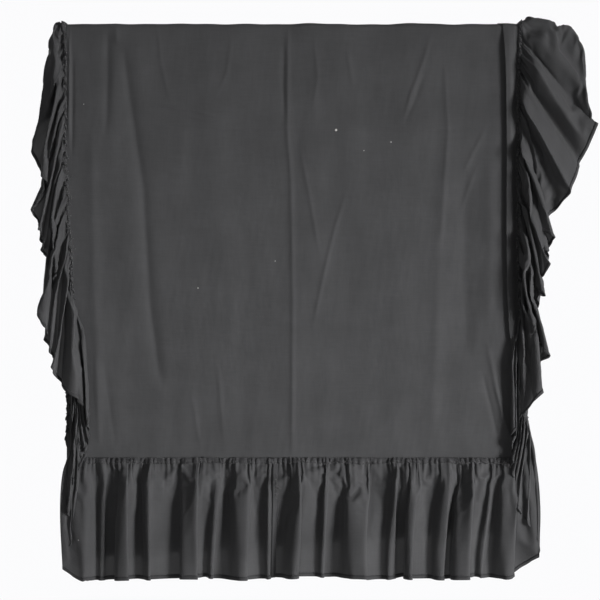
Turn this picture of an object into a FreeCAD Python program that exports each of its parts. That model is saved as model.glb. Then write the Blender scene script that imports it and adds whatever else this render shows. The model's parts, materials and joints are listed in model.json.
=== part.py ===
import FreeCAD, Part
import os
import Sketcher
from FreeCAD import Placement, Rotation, Vector

# A gathered bed skirt hung over a round rail, wrong side out. Its deck, the flat panel that lies
# under a mattress, is folded over the rail along X. The foot ruffle hangs at the end of the front
# half, a ruffle runs down each side edge, and the head end of the back half is only hemmed.
# The frame: origin on the rail's axis, half way along the deck; +Z up; -Y towards the viewer.

SIZES = (
    # the deck and the rail it hangs on
    ("channel_radius", 6.2),
    ("cloth_bulk", 4.0),
    ("deck_width", 905.0),
    ("fold_gap", 2.5),
    ("front_drop", 859.5),
    ("back_drop_left", 1050.0),
    ("back_drop_right", 990.0),
    ("head_hem_width", 12.0),
    # seams: the roll of stitching, and the allowance folded over the ruffle's head
    ("seam_radius", 1.5),
    ("allowance_offset", 5.0),
    ("allowance_width", 10.0),
    ("allowance_bulk", 3.0),
    ("allowance_gap", 0.3),
    ("side_allowance_end", 830.0),
    ("overlock_radius", 1.2),
    # ruffles: a flat gathered head, then flutes, then a narrow hem
    ("ruffle_bulk", 3.0),
    ("head_gap", 3.0),
    ("head_width", 16.0),
    ("hem_width", 6.0),
    ("hem_bulk", 4.0),
    # the foot ruffle, two strips joined left of the middle
    ("foot_ruffle_end", 1100.0),
    ("foot_flute_radius", 13.0),
    ("foot_flute_middle", 16.0),
    ("foot_join_x", 28.0),
    ("foot_join_bulk", 3.0),
    ("foot_join_depth", 16.0),
    ("foot_left_folds", 16),
    ("foot_right_folds", 20),
    ("fray_length", 38.0),
    ("fray_width", 4.0),
    # the side ruffles, which fall in a cascade from the upright seams
    ("side_top", 30.0),
    ("side_top_step", 8.0),
    ("side_head_width", 20.0),
    ("side_flute_middle", 30.0),
    ("side_flute_depth", 25.0),
    ("side_flute_start", 17.0),
    ("left_flute_radius", 7.4),
    ("left_folds", 3),
    ("right_flute_radius", 9.7),
    ("right_folds", 6),
    ("back_folds", 3),
    ("front_inner_end", 745.0),
    ("left_front_outer_end", 500.0),
    ("right_front_outer_end", 330.0),
    ("left_back_inner_end", 1020.0),
    ("right_back_inner_end", 960.0),
    ("back_outer_end", 420.0),
    # the ruffle's crest, where each side ruffle rides over the rail
    ("crest_clearance", 1.5),
    ("left_crest_bulk", 5.0),
    ("left_crest_length", 24.0),
    ("right_crest_bulk", 12.0),
    ("right_crest_length", 76.0),
)

LEFT = -1
RIGHT = 1
FRONT = -1
BACK = 1
SIDE_NAMES = {LEFT: "left", RIGHT: "right"}
HALF_NAMES = {FRONT: "front", BACK: "back"}

# Turns a part built along local Z so that it runs along X, with its local Y pointing up.
ALONG_X = Rotation(Vector(1, 1, 1), 120)

doc = FreeCAD.newDocument("bed_skirt")
sheet = doc.addObject("Spreadsheet::Sheet", "sizes")
for row, (alias, number) in enumerate(SIZES, start=1):
    sheet.set("A%d" % row, alias)
    sheet.set("B%d" % row, str(number))
    sheet.setAlias("B%d" % row, alias)
doc.recompute()

nodes = []


def size(alias):
    """The number in the sheet's cell of that name."""
    return float(sheet.get(alias))


def bind(part, **expressions):
    """Bind properties to sheet cells; x, y and z are the part's place."""
    for name, expression in expressions.items():
        target = ".Placement.Base." + name if name in ("x", "y", "z") else name
        part.setExpression(target, expression)


def register(part, label):
    """Name a finished sub-part; the label also names its file."""
    part.Label = label
    nodes.append(part)
    return part


def panel(label, half_width, corners, back_face, thickness):
    """An upright four-sided panel of cloth, padded towards -Y from back_face."""
    body = doc.addObject("PartDesign::Body", label)
    plane = [f for f in body.Origin.OriginFeatures if f.Role == "XZ_Plane"][0]
    sketch = body.newObject("Sketcher::SketchObject", label + "_outline")
    sketch.AttachmentSupport = [(plane, "")]
    sketch.MapMode = "FlatFace"
    starts = (Vector(-100, -10, 0), Vector(100, -10, 0), Vector(100, -90, 0), Vector(-100, -90, 0))
    signs = (-1, 1, 1, -1)
    for index, start in enumerate(starts):
        sketch.addGeometry(Part.LineSegment(start, starts[(index + 1) % 4]))
    for index in range(4):
        sketch.addConstraint(Sketcher.Constraint("Coincident", index, 2, (index + 1) % 4, 1))
    for index, (sign, drop) in enumerate(zip(signs, corners)):
        across = sketch.addConstraint(Sketcher.Constraint("DistanceX", -1, 1, index, 1, sign * 100))
        down = sketch.addConstraint(Sketcher.Constraint("DistanceY", -1, 1, index, 1, -50))
        sketch.setExpression("Constraints[%d]" % across, "%d * (%s)" % (sign, half_width))
        sketch.setExpression("Constraints[%d]" % down, "-(%s)" % drop)
    pad = body.newObject("PartDesign::Pad", label + "_pad")
    pad.Profile = sketch
    bind(pad, Length=thickness)
    bind(body, y=back_face)
    return register(body, label)


def block(label, x, y, z, length, width, height):
    """A straight strip of cloth, from its lowest corner."""
    box = doc.addObject("Part::Box", label)
    bind(box, x=x, y=y, z=z, Length=length, Width=width, Height=height)
    return register(box, label)


def thread_roll(label, radius, height, x, y, z, rotation=None):
    """A straight roll of stitching."""
    roll = doc.addObject("Part::Cylinder", label)
    if rotation:
        roll.Placement = Placement(Vector(), rotation)
    bind(roll, Radius=radius, Height=height, x=x, y=y, z=z)
    return register(roll, label)


def saddle(label, inner, outer, length, start):
    """A half tube over the top of the rail, from start along X."""
    shells = []
    for name, radius in (("outer", outer), ("inner", inner)):
        shell = doc.addObject("Part::Cylinder", "%s_%s" % (label, name))
        bind(shell, Radius=radius, Height=length, Angle="180")
        shells.append(shell)
    tube = doc.addObject("Part::Cut", label)
    tube.Base, tube.Tool = shells
    tube.Placement = Placement(Vector(), ALONG_X)
    bind(tube, x=start)
    return register(tube, label)


def fold_profile(middle_x, middle_y, radius, leg, bulk, way):
    """One half wave of gathered cloth in plan: two legs and a round end, bulging towards way."""
    end_y = middle_y + way * leg / 2
    edges = []
    corners = []
    for reach in (radius + bulk / 2, radius - bulk / 2):
        near = Vector(middle_x - reach, middle_y, 0)
        near_end = Vector(middle_x - reach, end_y, 0)
        tip = Vector(middle_x, end_y + way * reach, 0)
        far_end = Vector(middle_x + reach, end_y, 0)
        far = Vector(middle_x + reach, middle_y, 0)
        edges.append(Part.Arc(near_end, tip, far_end).toShape())
        if leg > 0:
            edges.append(Part.LineSegment(near, near_end).toShape())
            edges.append(Part.LineSegment(far_end, far).toShape())
        corners.append((near, far))
    for outer_corner, inner_corner in zip(*corners):
        edges.append(Part.LineSegment(outer_corner, inner_corner).toShape())
    return Part.Face(Part.Wire(Part.__sortEdges__(edges)))


def upright(face, bottom, top):
    """A plan face carried up from bottom to top."""
    face.translate(Vector(0, 0, bottom))
    return face.extrude(Vector(0, 0, top - bottom))


def joined(solids):
    """Solids that meet, as one."""
    return solids[0].multiFuse(solids[1:]).removeSplitter()


def shaped(label, shape):
    """A sub-part whose shape is worked out in code."""
    feature = doc.addObject("Part::Feature", label)
    feature.Shape = shape
    feature.Placement = Placement()
    return register(feature, label)


def foot_flutes(start, folds, bottom, top, bulk):
    """The foot ruffle's even round flutes, from start along X."""
    radius = size("foot_flute_radius")
    middle_y = FRONT * size("foot_flute_middle")
    solids = []
    for index in range(folds):
        middle_x = start + (2 * index + 1) * radius
        way = FRONT if index % 2 else BACK
        solids.append(upright(fold_profile(middle_x, middle_y, radius, 0, bulk, way), bottom, top))
    return joined(solids)


def make_foot_ruffle():
    """Two fluted strips with a flat gathered head each, and their hems."""
    half_deck = size("deck_width") / 2
    seam_z = -size("front_drop") - size("seam_radius")
    head_top = seam_z - size("head_gap")
    head_bottom = head_top - size("head_width")
    hem_top = -size("foot_ruffle_end") + size("hem_width")
    bulk = size("ruffle_bulk")
    back_face = -size("channel_radius") - size("cloth_bulk") / 2 - bulk / 2
    join_x = -size("foot_join_x")
    clear = size("foot_join_bulk") / 2 + bulk / 2
    spans = {LEFT: (-half_deck, join_x - clear), RIGHT: (join_x + clear, half_deck)}
    for side, name in SIDE_NAMES.items():
        folds = int(size("foot_%s_folds" % name))
        low, high = spans[side]
        reach = 2 * folds * size("foot_flute_radius")
        start = high - reach if side == LEFT else low
        head = Part.makeBox(high - low, bulk, head_top - head_bottom, Vector(low, back_face, head_bottom))
        flutes = foot_flutes(start, folds, hem_top, head_bottom, bulk)
        shaped("foot_ruffle_" + name, joined([head, flutes]))
        hem = foot_flutes(start, folds, -size("foot_ruffle_end"), hem_top, size("hem_bulk"))
        shaped("foot_hem_" + name, hem)


def make_side_ruffle(side, half):
    """One side ruffle's strip on one half: its flat head, its cascade of folds, and its hem."""
    name = "%s_ruffle_%s" % (SIDE_NAMES[side], HALF_NAMES[half])
    bulk = size("ruffle_bulk")
    seam_x = size("deck_width") / 2 + size("seam_radius")
    seam_y = size("channel_radius") + size("cloth_bulk") / 2
    radius = size(SIDE_NAMES[side] + "_flute_radius")
    leg = 2 * (size("side_flute_depth") - radius)
    if half == FRONT:
        folds = int(size(SIDE_NAMES[side] + "_folds"))
        inner_end = size("front_inner_end")
        outer_end = size(SIDE_NAMES[side] + "_front_outer_end")
    else:
        folds = int(size("back_folds"))
        inner_end = size(SIDE_NAMES[side] + "_back_inner_end")
        outer_end = size("back_outer_end")
    top = -size("side_top")
    head_low = side * (seam_x + size("head_gap"))
    head_high = side * (seam_x + size("side_head_width"))
    head_corner = Vector(min(head_low, head_high), half * seam_y - bulk / 2, -inner_end)
    solids = [Part.makeBox(abs(head_high - head_low), bulk, top + inner_end, head_corner)]
    for index in range(folds):
        middle_x = side * (seam_x + size("side_flute_start") + (2 * index + 1) * radius)
        way = half if index % 2 else -half
        face = fold_profile(middle_x, half * size("side_flute_middle"), radius, leg, bulk, way)
        bottom = -inner_end + (inner_end - outer_end) * index / (folds - 1)
        solids.append(upright(face, bottom, top - index * size("side_top_step")))
    shaped(name, joined(solids))
    edge_x = side * (seam_x + size("side_flute_start") + 2 * folds * radius)
    hem_side = edge_x - size("hem_bulk") / 2
    way = -half if folds % 2 else half
    hem_y = half * size("side_flute_middle")
    hem_low_y = min(hem_y, hem_y - way * size("hem_width"))
    hem_top = top - (folds - 1) * size("side_top_step")
    hem_corner = Vector(hem_side, hem_low_y, -outer_end)
    hem = Part.makeBox(size("hem_bulk"), size("hem_width"), hem_top + outer_end, hem_corner)
    shaped("%s_hem_%s" % (SIDE_NAMES[side], HALF_NAMES[half]), hem)


# The fold over the rail, and each side ruffle's crest on it
saddle("deck_fold", "sizes.channel_radius", "sizes.channel_radius + sizes.cloth_bulk",
       "sizes.deck_width", "-sizes.deck_width / 2")
for side, name in SIDE_NAMES.items():
    near = "sizes.deck_width / 2 + 2 * sizes.seam_radius"
    start = near if side == RIGHT else "-(%s) - sizes.left_crest_length" % near
    inner = "sizes.channel_radius + sizes.crest_clearance"
    saddle(name + "_ruffle_crest", inner, "%s + sizes.%s_crest_bulk" % (inner, name),
           "sizes.%s_crest_length" % name, start)
    ring = doc.addObject("Part::Torus", name + "_seam_crest")
    ring.Placement = Placement(Vector(), ALONG_X)
    bind(ring, Radius1="sizes.channel_radius + sizes.cloth_bulk / 2", Radius2="sizes.seam_radius",
         Angle3="180", x="%d * (sizes.deck_width / 2 + sizes.seam_radius)" % side)
    register(ring, name + "_seam_crest")

# The deck's two hanging halves, and the head end's stitched hem
panel("deck_front", "sizes.deck_width / 2",
      ("sizes.fold_gap", "sizes.fold_gap", "sizes.front_drop", "sizes.front_drop"),
      "-sizes.channel_radius", "sizes.cloth_bulk")
panel("deck_back", "sizes.deck_width / 2",
      ("sizes.fold_gap", "sizes.fold_gap", "sizes.back_drop_right", "sizes.back_drop_left"),
      "sizes.channel_radius + sizes.cloth_bulk", "sizes.cloth_bulk")
panel("head_hem", "sizes.deck_width / 2",
      ("sizes.back_drop_left", "sizes.back_drop_right",
       "sizes.back_drop_right + sizes.head_hem_width", "sizes.back_drop_left + sizes.head_hem_width"),
      "sizes.channel_radius + sizes.cloth_bulk", "sizes.cloth_bulk")

# Seams: a roll of gathering stitches along each joined edge
SEAM_Y = "(sizes.channel_radius + sizes.cloth_bulk / 2)"
thread_roll("foot_seam", "sizes.seam_radius", "sizes.deck_width", "-sizes.deck_width / 2",
            "-" + SEAM_Y, "-sizes.front_drop - sizes.seam_radius", ALONG_X)
for side, name in SIDE_NAMES.items():
    for half, half_name in HALF_NAMES.items():
        drop = "sizes.front_drop" if half == FRONT else "sizes.back_drop_%s" % name
        thread_roll("%s_seam_%s" % (name, half_name), "sizes.seam_radius",
                    "%s - sizes.fold_gap" % drop,
                    "%d * (sizes.deck_width / 2 + sizes.seam_radius)" % side,
                    "%d * %s" % (half, SEAM_Y), "-" + drop)

# Seam allowances, folded over the ruffles' heads on the outside, because it hangs wrong side out
ALLOWANCE_Y = {
    FRONT: "-(sizes.channel_radius + sizes.cloth_bulk + sizes.allowance_gap + sizes.allowance_bulk)",
    BACK: "sizes.channel_radius + sizes.cloth_bulk + sizes.allowance_gap",
}
block("foot_allowance", "-sizes.deck_width / 2", ALLOWANCE_Y[FRONT],
      "-sizes.front_drop - sizes.seam_radius - sizes.allowance_offset - sizes.allowance_width",
      "sizes.deck_width", "sizes.allowance_bulk", "sizes.allowance_width")
thread_roll("foot_overlock", "sizes.overlock_radius", "sizes.deck_width", "-sizes.deck_width / 2",
            ALLOWANCE_Y[FRONT] + " + sizes.allowance_bulk / 2",
            "-sizes.front_drop - sizes.seam_radius - sizes.allowance_offset"
            " - sizes.allowance_width - sizes.overlock_radius", ALONG_X)
for side, name in SIDE_NAMES.items():
    inner = "sizes.deck_width / 2 + sizes.seam_radius + sizes.allowance_offset"
    start = inner if side == RIGHT else "-(%s) - sizes.allowance_width" % inner
    for half, half_name in HALF_NAMES.items():
        block("%s_allowance_%s" % (name, half_name), start, ALLOWANCE_Y[half],
              "-sizes.side_allowance_end", "sizes.allowance_width", "sizes.allowance_bulk",
              "sizes.side_allowance_end - sizes.side_top")

# The ruffles, and the seam that joins the foot ruffle's two strips
make_foot_ruffle()
for side in SIDE_NAMES:
    for half in HALF_NAMES:
        make_side_ruffle(side, half)
HEAD_BOTTOM = "sizes.front_drop + sizes.seam_radius + sizes.head_gap + sizes.head_width"
block("foot_strip_join", "-sizes.foot_join_x - sizes.foot_join_bulk / 2",
      "-sizes.foot_flute_middle - sizes.foot_join_depth / 2",
      "-sizes.foot_ruffle_end + sizes.hem_width", "sizes.foot_join_bulk", "sizes.foot_join_depth",
      "sizes.foot_ruffle_end - sizes.hem_width - (%s)" % HEAD_BOTTOM)
block("foot_join_fray", "-sizes.foot_join_x - sizes.fray_width / 2",
      "-sizes.foot_flute_middle - sizes.foot_join_depth / 2 - sizes.fray_width",
      "-(%s) - sizes.head_width - sizes.fray_length" % HEAD_BOTTOM,
      "sizes.fray_width", "sizes.fray_width", "sizes.fray_length")

doc.recompute()

for item in doc.Objects:
    if "Invalid" in item.State or "Error" in item.State:
        raise RuntimeError("%s did not recompute: %s" % (item.Label, item.State))
for part in nodes:
    if part.Shape.isNull() or not part.Shape.isValid() or not part.Shape.Solids:
        raise RuntimeError("%s has no valid solid" % part.Label)

os.makedirs("parts", exist_ok=True)
for part in nodes:
    part.Shape.exportStep("parts/%s.step" % part.Label)
    box = part.Shape.BoundBox
    print("%-22s %9.0f mm3  x %7.1f %7.1f  y %6.1f %6.1f  z %7.1f %7.1f" % (
        part.Label, part.Shape.Volume, box.XMin, box.XMax, box.YMin, box.YMax, box.ZMin, box.ZMax))
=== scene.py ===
import json
import math

import bpy
import numpy as np
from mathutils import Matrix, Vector


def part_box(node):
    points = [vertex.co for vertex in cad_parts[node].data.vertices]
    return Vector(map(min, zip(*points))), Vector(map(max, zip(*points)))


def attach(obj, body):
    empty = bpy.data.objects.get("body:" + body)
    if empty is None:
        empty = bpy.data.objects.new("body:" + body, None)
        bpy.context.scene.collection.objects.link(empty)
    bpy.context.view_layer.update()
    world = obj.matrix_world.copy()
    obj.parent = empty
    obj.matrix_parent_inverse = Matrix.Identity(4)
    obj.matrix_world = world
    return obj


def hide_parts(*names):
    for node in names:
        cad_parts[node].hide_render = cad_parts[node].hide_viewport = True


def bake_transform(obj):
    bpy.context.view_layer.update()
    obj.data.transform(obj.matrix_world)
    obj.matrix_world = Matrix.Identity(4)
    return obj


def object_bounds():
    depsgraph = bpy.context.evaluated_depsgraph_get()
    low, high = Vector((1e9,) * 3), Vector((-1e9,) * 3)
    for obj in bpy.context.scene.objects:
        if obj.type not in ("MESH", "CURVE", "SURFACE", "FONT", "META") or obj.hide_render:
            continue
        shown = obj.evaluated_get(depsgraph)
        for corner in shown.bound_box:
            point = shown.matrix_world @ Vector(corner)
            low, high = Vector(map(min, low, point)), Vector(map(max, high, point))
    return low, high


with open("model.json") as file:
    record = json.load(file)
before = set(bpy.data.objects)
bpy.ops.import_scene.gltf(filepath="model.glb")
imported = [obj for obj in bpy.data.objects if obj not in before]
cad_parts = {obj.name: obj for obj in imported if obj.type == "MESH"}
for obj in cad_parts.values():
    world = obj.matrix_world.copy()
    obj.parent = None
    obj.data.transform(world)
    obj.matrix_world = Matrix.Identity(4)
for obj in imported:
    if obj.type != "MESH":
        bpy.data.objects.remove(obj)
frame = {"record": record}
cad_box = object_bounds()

# A gathered bed skirt of black cotton, hung wrong side out over a rail along X. Everything is in
# metres in the CAD frame: origin on the rail's axis, +Z up, -Y towards the viewer. Each cloth is a
# grid of points, P[row, column], whose rows run down or out from a seam; its UVs are the cloth's
# own flat coordinates in metres, so the weave follows the grain.

SEED = 7
SCENE = bpy.context.scene
WEAVE = 0.0007
RAIL_RADIUS = frame["record"]["mounts"][0]["dims"]["r_mm"] / 1000
DECK_LOW, DECK_HIGH = (np.array(corner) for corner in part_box("deck_front"))
SEAM_LOW, SEAM_HIGH = (np.array(corner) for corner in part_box("foot_seam"))
HALF_DECK = DECK_HIGH[0]
SEAM_Z = (SEAM_LOW[2] + SEAM_HIGH[2]) / 2
HINGE_Y = -(DECK_LOW[1] + DECK_HIGH[1]) / 2
RUFFLE_WIDTH = 0.245
FULLNESS = 1.5
BLEND_DEPTH = 0.03
HEM_WIDTH = 0.007
HEM_THICKNESS = 0.0016
HEAD_HEM_THICKNESS = 0.0018
ALLOWANCE_WIDTH = 0.011
OVERLOCK_RADIUS = 0.00045
FRAY_RADIUS = 0.0003
DRAPE_FRAMES = 26


# ---- small helpers

def smooth(value, start, end):
    """0 before start, 1 after end, and smooth between them."""
    t = np.clip((value - start) / (end - start), 0, 1)
    return t * t * (3 - 2 * t)


def metres(table):
    """A table given in millimetres."""
    return np.array(table) / 1000


def through(points, at):
    """The second column of points at places given in the first, by a smooth curve."""
    knots = np.array(points, float)
    order = np.argsort(knots[:, 0])
    x, y = knots[order, 0], knots[order, 1]
    slope = np.gradient(y, x)
    index = np.clip(np.searchsorted(x, at) - 1, 0, len(x) - 2)
    width = x[index + 1] - x[index]
    t = np.clip((at - x[index]) / width, 0, 1)
    a = y[index] * (2 * t**3 - 3 * t**2 + 1) + slope[index] * width * (t**3 - 2 * t**2 + t)
    b = y[index + 1] * (3 * t**2 - 2 * t**3) + slope[index + 1] * width * (t**3 - t**2)
    return a + b


def waves(rng, x, z, count, shortest, longest, height, slant=0.2, life=0.6):
    """Soft, nearly upright undulations: a seeded sum of waves across x that change slowly down z."""
    total = np.zeros(np.broadcast(x, z).shape)
    for _ in range(count):
        length = shortest * (longest / shortest) ** rng.random()
        phase, _, swell = rng.random(3) * 2 * math.pi
        lean = (rng.random() - 0.5) * slant
        gain = 0.5 + 0.5 * np.sin(2 * math.pi * z / life + swell)
        total += gain * np.sin(2 * math.pi * (x + lean * z) / length + phase) * length / longest
    return total * height / math.sqrt(count)


def ripples(rng, u, shortest, longest, count=9):
    """Uneven ripples along u, between about -1 and 1."""
    total = np.zeros_like(u, float)
    for _ in range(count):
        length = shortest * (longest / shortest) ** rng.random()
        total += np.sin(2 * math.pi * u / length + rng.random() * 2 * math.pi)
    return total / math.sqrt(count)


def distances(line):
    """How far along a line each of its points is."""
    return np.r_[0, np.cumsum(np.linalg.norm(np.diff(line, axis=0), axis=1))]


def points_at(line, known, at):
    """Points on a line at the places at, where known says the places of its own points."""
    return np.stack([np.interp(at, known, column) for column in np.transpose(line)], -1)


def new_object(name, points, faces, flat=None, rounded=True):
    """A mesh object; flat is the (u, v) of each point in the cloth's own flat coordinates."""
    mesh = bpy.data.meshes.new(name)
    mesh.from_pydata(points, [], faces)
    if flat is not None:
        corners = np.concatenate([np.array(face) for face in faces])
        layer = mesh.uv_layers.new(name="flat")
        layer.data.foreach_set("uv", flat[corners].astype(np.float32).ravel())
    if rounded:
        mesh.polygons.foreach_set("use_smooth", np.ones(len(faces), bool))
    mesh.update()
    obj = bpy.data.objects.new(name, mesh)
    SCENE.collection.objects.link(obj)
    return obj


def quads_between(index):
    """The four-sided faces between the neighbouring points of a grid of point numbers."""
    return np.stack([index[:-1, :-1], index[1:, :-1], index[1:, 1:], index[:-1, 1:]], -1).reshape(-1, 4)


def flat_coordinates(flat_u, flat_v, shape):
    """One (u, v) for each point of a grid, from numbers along its rows and down its columns."""
    both = (np.broadcast_to(flat_u, shape), np.broadcast_to(flat_v, shape))
    return np.stack(both, -1).reshape(-1, 2)


def grid_object(name, points, flat_u, flat_v):
    """A smooth sheet from P[row, column], with its flat coordinates as UVs."""
    index = np.arange(points[..., 0].size).reshape(points.shape[:2])
    flat = flat_coordinates(flat_u, flat_v, index.shape)
    return new_object(name, points.reshape(-1, 3).tolist(), quads_between(index).tolist(), flat)


def drape(points, colliders=()):
    """The sheet after it has fallen, held by its first row and its two end columns. The
    cloth keeps the lengths that it starts with."""
    pinned = np.zeros(points.shape[:2], bool)
    pinned[0] = True
    pinned[:, [0, -1]] = True
    obj = grid_object("draping", points, 0, 0)
    group = obj.vertex_groups.new(name="pinned")
    group.add(np.flatnonzero(pinned).tolist(), 1.0, "REPLACE")
    cloth = obj.modifiers.new("cloth", "CLOTH")
    cloth.settings.vertex_group_mass = "pinned"
    cloth.settings.quality = 5
    cloth.settings.mass = 0.0002
    cloth.settings.tension_stiffness = 12
    cloth.settings.compression_stiffness = 12
    cloth.settings.shear_stiffness = 3
    cloth.settings.bending_stiffness = 0.02
    cloth.settings.tension_damping = 5
    cloth.settings.compression_damping = 5
    cloth.settings.air_damping = 2.0
    cloth.collision_settings.use_self_collision = True
    cloth.collision_settings.self_distance_min = 0.0015
    cloth.collision_settings.distance_min = 0.002
    cloth.collision_settings.collision_quality = 2
    for other in colliders:
        other.modifiers.new("solid", "COLLISION").settings.thickness_outer = 0.001
    SCENE.frame_start = 1
    SCENE.frame_end = DRAPE_FRAMES
    cloth.point_cache.frame_start = 1
    cloth.point_cache.frame_end = DRAPE_FRAMES
    for step in range(1, DRAPE_FRAMES + 1):
        SCENE.frame_set(step)
    shape = obj.evaluated_get(bpy.context.evaluated_depsgraph_get()).to_mesh()
    result = np.zeros(points.size, np.float32)
    shape.vertices.foreach_get("co", result)
    for other in colliders:
        other.modifiers.remove(other.modifiers["solid"])
    bpy.data.objects.remove(obj)
    SCENE.frame_set(1)
    return result.reshape(points.shape).astype(float)


# ---- where the seams run

# The front half's side seams, (height, x): the left one drifts in as it comes down, and the right
# one swings out over the ruffle before it turns in to the corner.
FRONT_SEAM_X = {
    "left": ((0.02, -0.4525), (-0.25, -0.4525), (-0.50, -0.440), (-0.70, -0.428), (-0.86, -0.414)),
    "right": ((0.02, 0.4525), (-0.35, 0.4515), (-0.60, 0.456), (-0.78, 0.464), (-0.86, 0.446)),
}
BACK_SEAM_X = {
    "left": ((0.02, -0.4525), (-1.10, -0.4525)),
    "right": ((0.02, 0.4525), (-1.10, 0.4525)),
}
OUTWARD = {"left": -1, "right": 1}
FOLD_LENGTH = math.pi * HINGE_Y


def side_seam(side, distance):
    """Points down a side seam: distance runs from the crest, positive down the front."""
    distance = np.asarray(distance, float)
    turn = np.clip(distance / HINGE_Y, -math.pi / 2, math.pi / 2)
    straight = np.maximum(np.abs(distance) - FOLD_LENGTH / 2, 0)
    z = HINGE_Y * np.cos(turn) - straight
    y = -HINGE_Y * np.sin(turn)
    x = np.where(distance >= 0, through(FRONT_SEAM_X[side], z), through(BACK_SEAM_X[side], z))
    return np.stack([x, y, z], -1)


# ---- the foot ruffle

# Each flute at the hem: the x of its valley, of its near shoulder and of its sharp far edge, and
# how far it stands forward. Millimetres.
FLUTES = (
    (-392, -384, -374, 10),
    (-360, -348, -324, 34),
    (-302, -294, -278, 26),
    (-228, -220, -186, 26),
    (-168, -160, -146, 10),
    (-130, -116, -86, 36),
    (-60, -52, -40, 10),
    (-16, -8, 14, 34),
    (52, 60, 74, 10),
    (98, 108, 150, 36),
    (182, 190, 206, 14),
    (220, 226, 242, 32),
    (276, 286, 308, 20),
    (315, 322, 354, 34),
    (376, 382, 392, 8),
    (402, 410, 446, 26),
)
HEM_ENDS = (-0.456, 0.492)
# The two end edges of the foot ruffle, (x, z) from the corner of the seam to the hem.
FOOT_EDGES = {
    "left": ((-0.442, -0.855), (-0.458, -0.890), (-0.463, -0.970), (-0.458, -1.082)),
    "right": ((0.478, -0.836), (0.488, -0.872), (0.495, -0.950), (0.493, -1.058)),
}
JOIN_X = (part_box("foot_strip_join")[0][0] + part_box("foot_strip_join")[1][0]) / 2
FOOT_SPACING = 0.0055
FOOT_BACK_Y = 0.002
FOOT_EDGE_COLUMNS = 12
HEM_ROWS = 4
EDGE_ROWS = 5
CORNER_Z = {"left": -0.834, "right": -0.812}


def spline(points, step):
    """Evenly spaced points on a smooth curve through the given ones (Catmull-Rom)."""
    p = np.array(points, float)
    p = np.vstack([2 * p[0] - p[1], p, 2 * p[-1] - p[-2]])
    t = np.linspace(0, 1, 24, endpoint=False)[:, None]
    parts = []
    for a, b, c, d in zip(p, p[1:], p[2:], p[3:]):
        parts.append(0.5 * (2 * b + (c - a) * t + (2 * a - 5 * b + 4 * c - d) * t**2
                            + (3 * b - a - 3 * c + d) * t**3))
    dense = np.vstack(parts + [p[-2:-1]])
    reach = distances(dense)
    count = max(2, int(round(reach[-1] / step)))
    return points_at(dense, reach, np.linspace(0, reach[-1], count + 1))


def foot_hem_curve():
    """The hem in plan: forward flutes with a shaded near side and a sharp, undercut far edge."""
    points = [(HEM_ENDS[0], -0.018), (HEM_ENDS[0] + 0.014, -0.030), (-0.414, -0.030)]
    for valley, shoulder, edge, forward in metres(FLUTES):
        points.append((valley, FOOT_BACK_Y))
        points.append((shoulder, -0.8 * forward))
        points.append((edge - 0.002, -forward))
        points.append((edge - 0.004, -0.35 * forward))
    points += [(0.458, -0.016), (0.476, -0.030), (HEM_ENDS[1], -0.020)]
    return spline(points, FOOT_SPACING)


def foot_ruffle_points():
    """The gathered foot ruffle before it is draped, with its flat coordinates."""
    hem = foot_hem_curve()
    columns = len(hem)
    step_x = np.diff(hem[:, 0])
    step = np.linalg.norm(np.diff(hem, axis=0), axis=1)
    share = np.r_[0, np.cumsum(np.maximum(step_x, 0.2 * step))]
    share /= share[-1]
    left = [(through(FRONT_SEAM_X["left"], CORNER_Z["left"]), CORNER_Z["left"]),
            (through(FRONT_SEAM_X["left"], SEAM_Z + 0.012), SEAM_Z + 0.012)]
    right = [(through(FRONT_SEAM_X["right"], SEAM_Z + 0.014), SEAM_Z + 0.014),
             (through(FRONT_SEAM_X["right"], CORNER_Z["right"]), CORNER_Z["right"])]
    corner_left = (FRONT_SEAM_X["left"][-1][1] + 0.010, SEAM_Z)
    corner_right = (FRONT_SEAM_X["right"][-1][1] - 0.010, SEAM_Z)
    path = spline(left + [corner_left, (-0.2, SEAM_Z), (0.2, SEAM_Z), corner_right] + right, 0.002)
    seam = points_at(path, np.linspace(0, 1, len(path)), share)
    top = np.insert(seam, 1, -HINGE_Y, axis=1)
    rows = int(round(RUFFLE_WIDTH / FOOT_SPACING)) + 1
    down = np.linspace(0, RUFFLE_WIDTH, rows)[:, None]
    across = hem[None, :, 0] - top[None, :, 0]
    forward = hem[None, :, 1] - top[None, :, 1]
    open_out = 1 - np.exp(-down / 0.045)
    open_out /= open_out[-1]
    lean = np.sqrt(np.maximum(RUFFLE_WIDTH**2 - across**2 - forward**2, 0)) / RUFFLE_WIDTH
    rng = np.random.default_rng(SEED)
    uneven = rng.normal(0, 1, columns)[None, :] * 0.0016 * np.exp(-((down - 0.02) / 0.03) ** 2)
    points = np.stack([top[None, :, 0] + across * smooth(down, 0, RUFFLE_WIDTH),
                       top[None, :, 1] + forward * open_out + uneven,
                       top[None, :, 2] - down * lean], -1)
    for side, column in (("left", 0), ("right", -1)):
        start = (top[column, 0], top[column, 2])
        edge = spline([start] + list(FOOT_EDGES[side]), RUFFLE_WIDTH / (rows - 1))
        end = points_at(edge, np.linspace(0, 1, len(edge)), np.linspace(0, 1, rows))
        end = np.insert(end, 1, points[:, column, 1], axis=1)[:, None]
        order = np.arange(columns) if column == 0 else np.arange(columns)[::-1]
        near = (1 - smooth(order, 0, FOOT_EDGE_COLUMNS))[None, :, None]
        points += near * (end - points[:, column][:, None])
    return points, np.arange(columns) * FOOT_SPACING, down


# ---- the side ruffles

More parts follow.
